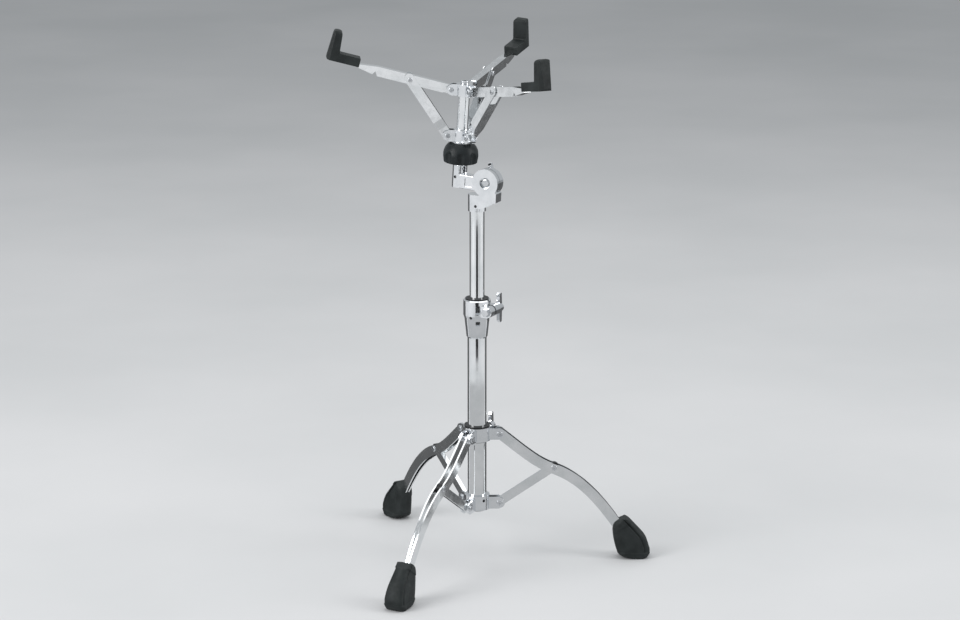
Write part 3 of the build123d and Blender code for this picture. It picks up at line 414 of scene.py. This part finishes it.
def build_claw(number):
    """L-shaped claw: the post's outer corners cut back, its top rounded across, all edges softened."""
    bm = prism(rounded(CLAW_SIDE_VIEW), CLAW_HALF_WIDTH)
    outward, sideways = CLAW_CORNER_SLOPE
    for side in (-1, 1):
        corner = (CLAW_OUTER - CLAW_CORNER_CUT, side * CLAW_HALF_WIDTH, 0)
        cut_away(bm, corner, (outward, side * sideways, 0))
        for angle in CLAW_TOP_FACETS:
            across, up = math.cos(math.radians(angle)), math.sin(math.radians(angle))
            y = side * (CLAW_HALF_WIDTH - CLAW_TOP_CORNER * (1 - across))
            z = CLAW_TOP - CLAW_TOP_CORNER * (1 - up)
            cut_away(bm, (0, y, z), (0, side * across, up))
    place = arm_frame(BASKET_AZIMUTHS[number - 1])
    piece = add_piece(f"rubber_claw_{number}", bm, place, f"arm_{number}", [f"claw_{number}"], "black_rubber")
    add_bevel(piece, CLAW_EDGE)


# ---- Rubber feet --------------------------------------------------------------------------------
FOOT_HALF_WIDTH = 18.0
FOOT_TOP_HALF_WIDTH = 12.5
FOOT_TOP_Z = 63.0
FOOT_RIM_Z = 9.0
FOOT_RIM = 0.9
FOOT_RIM_RISE = 1.6
FOOT_HEEL_CORNER = 13.0
FOOT_TOE_CORNER = 4.5
SOLE_TOE_CORNER = 5.0
SOLE_TOE_RISE = 22.0
SOLE_TURN_IN = 1.6
SOLE_TURN_IN_RISE = 2.5
GROOVE_FROM_TOE = 7.5
GROOVE_HALF_WIDTH = 2.0
GROOVE_DEPTH = 2.4
GROOVE_RISE = 2.0
SLEEVE_START = (206.5, 37.0)
SLEEVE_END = (229.0, 53.0)
SLEEVE_RISE = 1.5
SLEEVE_FADE = 1.4
FOOT_SIDE_VIEW = [
    (228, 0, 9),
    (259, 0, 4),
    (265.5, 12, 6),
    (259, 32, 9),
    (231, 63, 6),
    (221, 63, 5),
    (206, 55, 6),
    (206, 40, 14),
    (208.5, 24, 16),
    (214, 6, 11),
]
FOOT_LEVELS = 76
FOOT_CORNER_STEPS = 6
FOOT_SIDE_STEPS = 26
FOOT_END_MARGIN = 0.01


def eased(value):
    """0 below 0, 1 above 1, and a smooth step between."""
    value = min(1.0, max(0.0, value))
    return value * value * (3 - 2 * value)


def crossing_span(outline, z):
    """Lowest and highest x at which a closed side view is crossed at a height."""
    crossings = []
    for start, end in zip(outline, outline[1:] + outline[:1]):
        if min(start.y, end.y) <= z <= max(start.y, end.y) and start.y != end.y:
            crossings.append(start.x + (end.x - start.x) * (z - start.y) / (end.y - start.y))
    return min(crossings), max(crossings)


def foot_half_width(z):
    """The foot narrows evenly from its rim to its top, and turns in a little at the sole."""
    share = max(0.0, (z - FOOT_RIM_Z) / (FOOT_TOP_Z - FOOT_RIM_Z))
    width = FOOT_HALF_WIDTH + (FOOT_TOP_HALF_WIDTH - FOOT_HALF_WIDTH) * share
    return width - SOLE_TURN_IN * (1 - eased(z / SOLE_TURN_IN_RISE))


def above_rim(z):
    """0 up to the rim at the sole, 1 above it."""
    return eased((z - FOOT_RIM_Z) / FOOT_RIM_RISE)


def foot_inset(x, z, toe):
    """How far the side of the foot lies inside its full width: rim, groove by the toe, sleeve at the top."""
    off_groove = abs(toe - x - GROOVE_FROM_TOE) / GROOVE_HALF_WIDTH
    groove = GROOVE_DEPTH * (1 - eased(off_groove)) * eased((z - FOOT_RIM_Z) / GROOVE_RISE)
    along = Vector(SLEEVE_END) - Vector(SLEEVE_START)
    below_sleeve = (Vector((x, z)) - Vector(SLEEVE_START)).cross(along.normalized()) * -1
    sleeve = SLEEVE_RISE * (1 - eased(below_sleeve / SLEEVE_FADE))
    return FOOT_RIM * above_rim(z) + groove + sleeve


def foot_slice(outline, z):
    """Outline of the foot at one height: half of it from toe to heel, then its mirror image."""
    heel, toe = crossing_span(outline, z)
    heel += FOOT_RIM * above_rim(z)
    toe -= FOOT_RIM * above_rim(z)
    width = foot_half_width(z)
    toe_corner = FOOT_TOE_CORNER + SOLE_TOE_CORNER * (1 - eased(z / SOLE_TOE_RISE))
    toe_corner = min(toe_corner, (toe - heel) * 0.3)
    heel_corner = min(FOOT_HEEL_CORNER, (toe - heel) * 0.45, width * 0.8)
    quarter = [math.radians(90 * step / FOOT_CORNER_STEPS) for step in range(FOOT_CORNER_STEPS + 1)]
    half = []
    for a in quarter:
        half.append((toe - toe_corner * (1 - math.cos(a)), width - toe_corner * (1 - math.sin(a))))
    straight = toe - toe_corner - heel - heel_corner
    for step in range(1, FOOT_SIDE_STEPS):
        half.append((toe - toe_corner - straight * step / FOOT_SIDE_STEPS, width))
    for a in quarter:
        half.append((heel + heel_corner * (1 - math.sin(a)), width - heel_corner * (1 - math.cos(a))))
    half = [(x, y - foot_inset(x, z, toe) * eased(y / width * 4 - 2.4)) for x, y in half]
    return half + [(x, -y) for x, y in reversed(half)]


def build_foot(number):
    """Wedge-shaped rubber foot with a rim at the sole, a groove beside the toe and a sleeve at the top."""
    outline = rounded(FOOT_SIDE_VIEW)
    height = FOOT_TOP_Z - 2 * FOOT_END_MARGIN
    bm = bmesh.new()
    loops = []
    for level in range(FOOT_LEVELS + 1):
        z = height * (1 - math.cos(math.pi * level / FOOT_LEVELS)) / 2 + FOOT_END_MARGIN
        loops.append([bm.verts.new((x, y, z)) for x, y in foot_slice(outline, z)])
    for low, high in zip(loops, loops[1:]):
        for i in range(len(low)):
            bm.faces.new((low[i - 1], low[i], high[i], high[i - 1]))
    bm.faces.new(loops[0])
    bm.faces.new(loops[-1])
    add_piece(f"rubber_foot_shell_{number}", bm, turn(LEG_AZIMUTHS[number - 1], "Z"),
              f"leg_{number}", [f"rubber_foot_{number}"], "black_rubber")


# ---- Height knob -----------------------------------------------------------------------------------
KNOB_R = 26.8
KNOB_BOTTOM = 22.4
KNOB_TOP = 52.6
KNOB_LIP_R = 22.0
KNOB_LIP_HEIGHT = 3.0
KNOB_WAIST_R = 25.5
KNOB_SHOULDER = KNOB_BOTTOM + 12
KNOB_TOP_R = 14.0
KNOB_DOME_POWER = 1.5
KNOB_FLUTES = 8
KNOB_EDGE = 0.5
KNOB_AROUND = 192
KNOB_LEVELS = 44
FLUTE_R = 6.5
FLUTE_CENTRE_R = KNOB_R + 2.0
FLUTE_TOP = KNOB_TOP - 9
FLUTE_FADE = 7.0
FLUTE_EDGE = 0.3


def knob_radius(z):
    """Outer radius of the knob, leaving the flutes out: a round lip, a widening side, a domed top."""
    above_lip = z - KNOB_BOTTOM - KNOB_LIP_HEIGHT
    if above_lip < 0:
        share = (z - KNOB_BOTTOM) / KNOB_LIP_HEIGHT
        swell = math.sqrt(max(0.0, 1 - (1 - share) ** 2))
        return KNOB_LIP_R + (KNOB_WAIST_R - KNOB_LIP_R) * swell
    if z < KNOB_SHOULDER:
        side_height = KNOB_SHOULDER - KNOB_BOTTOM - KNOB_LIP_HEIGHT
        return KNOB_WAIST_R + (KNOB_R - KNOB_WAIST_R) * above_lip / side_height
    share = (z - KNOB_SHOULDER) / (KNOB_TOP - KNOB_SHOULDER)
    return KNOB_TOP_R + (KNOB_R - KNOB_TOP_R) * math.sqrt(max(0.0, 1 - share ** KNOB_DOME_POWER))


def smooth_min(first, second, softness):
    """The smaller of two lengths, with the corner between them rounded."""
    share = min(1.0, max(0.0, 0.5 + 0.5 * (second - first) / softness))
    return second + (first - second) * share - softness * share * (1 - share)


def fluted(radius, angle, z):
    """The knob's radius where a flute may have been scooped out of its side."""
    pitch = 2 * math.pi / KNOB_FLUTES
    off_centre = (angle + pitch / 2) % pitch - pitch / 2
    scoop = FLUTE_R * math.sqrt(min(1.0, max(0.0, (FLUTE_TOP - z) / FLUTE_FADE)))
    reach = FLUTE_CENTRE_R * math.sin(off_centre)
    if abs(reach) >= scoop:
        return radius
    floor = FLUTE_CENTRE_R * math.cos(off_centre) - math.sqrt(scoop * scoop - reach * reach)
    return smooth_min(radius, floor, FLUTE_EDGE)


def build_knob():
    """Domed knob with scooped flutes and an open bore, one ring of points per height."""
    rings = [[(ROD_R, KNOB_BOTTOM)] * KNOB_AROUND]
    for level in range(KNOB_LEVELS + 1):
        z = KNOB_BOTTOM + (KNOB_TOP - KNOB_BOTTOM) * (1 - math.cos(math.pi * level / KNOB_LEVELS)) / 2
        radius = knob_radius(z)
        rings.append([(fluted(radius, 2 * math.pi * i / KNOB_AROUND, z), z) for i in range(KNOB_AROUND)])
    rings.append([(ROD_R, KNOB_TOP)] * KNOB_AROUND)
    bm = bmesh.new()
    loops = []
    for ring in rings:
        loop = []
        for index, (radius, z) in enumerate(ring):
            angle = 2 * math.pi * index / KNOB_AROUND
            loop.append(bm.verts.new((radius * math.cos(angle), radius * math.sin(angle), z)))
        loops.append(loop)
    for low, high in zip(loops, loops[1:] + loops[:1]):
        for i in range(KNOB_AROUND):
            bm.faces.new((low[i - 1], low[i], high[i], high[i - 1]))
    piece = add_piece("fluted_knob", bm, basket_frame(), "height_knob", ["height_knob"], "knob_plastic")
    add_bevel(piece, KNOB_EDGE, segments=2, angle=50)


# ---- Castings and pressings: the CAD shape with its sharp edges broken --------------------------------
# node: width of its rounded edges
SOFTENED = {
    "height_clamp": 0.7,
    "lower_bracket": 0.7,
    "leg_collar": 0.7,
    "tilter_base": 0.8,
    "tilter_head": 0.8,
    "basket_hub": 0.6,
    "spider": 0.6,
    "clamp_wing_nut": 0.8,
    "collar_wing_bolt": 0.8,
    "tilter_wing_nut": 0.8,
}


WELD_DISTANCE = 0.02 * MM
FLAT_WITHIN = 1.0


def soften(node, width_mm):
    """Stands a copy of the CAD node in for it, welded and with its edges rounded."""
    members = frame["record"]["behaviour"]["bodies"]
    body = next(name for name, nodes in members.items() if node in nodes)
    slot = next(part["material_slot"] for part in frame["record"]["subparts"] if part["node"] == node)
    bm = bmesh.new()
    bm.from_mesh(frame["nodes"][node].data)
    bmesh.ops.remove_doubles(bm, verts=bm.verts, dist=WELD_DISTANCE)
    bmesh.ops.dissolve_limit(bm, angle_limit=math.radians(FLAT_WITHIN), verts=bm.verts, edges=bm.edges)
    bm.transform(Matrix.Scale(1 / MM, 4))
    piece = add_piece(f"{node}_body", bm, Matrix.Identity(4), body, [node], slot)
    add_bevel(piece, width_mm, segments=2)


# ---- Assembly ------------------------------------------------------------------------------
BLACKENED = ("column_set_screws", "socket_set_screw", "rod_set_screw")


def dress_frame(materials):
    """Gives every CAD node the material of its slot; the set screws are the blackened steel ones."""
    for part in frame["record"]["subparts"]:
        look = "blackened_steel" if part["node"] in BLACKENED else part["material_slot"]
        node = frame["nodes"][part["node"]]
        node.data.materials.clear()
        node.data.materials.append(materials[look])


materials = make_materials()
dress_frame(materials)
for number in (1, 2, 3):
    build_claw(number)
    build_foot(number)
build_knob()
for node, width in SOFTENED.items():
    soften(node, width)
build_studio()
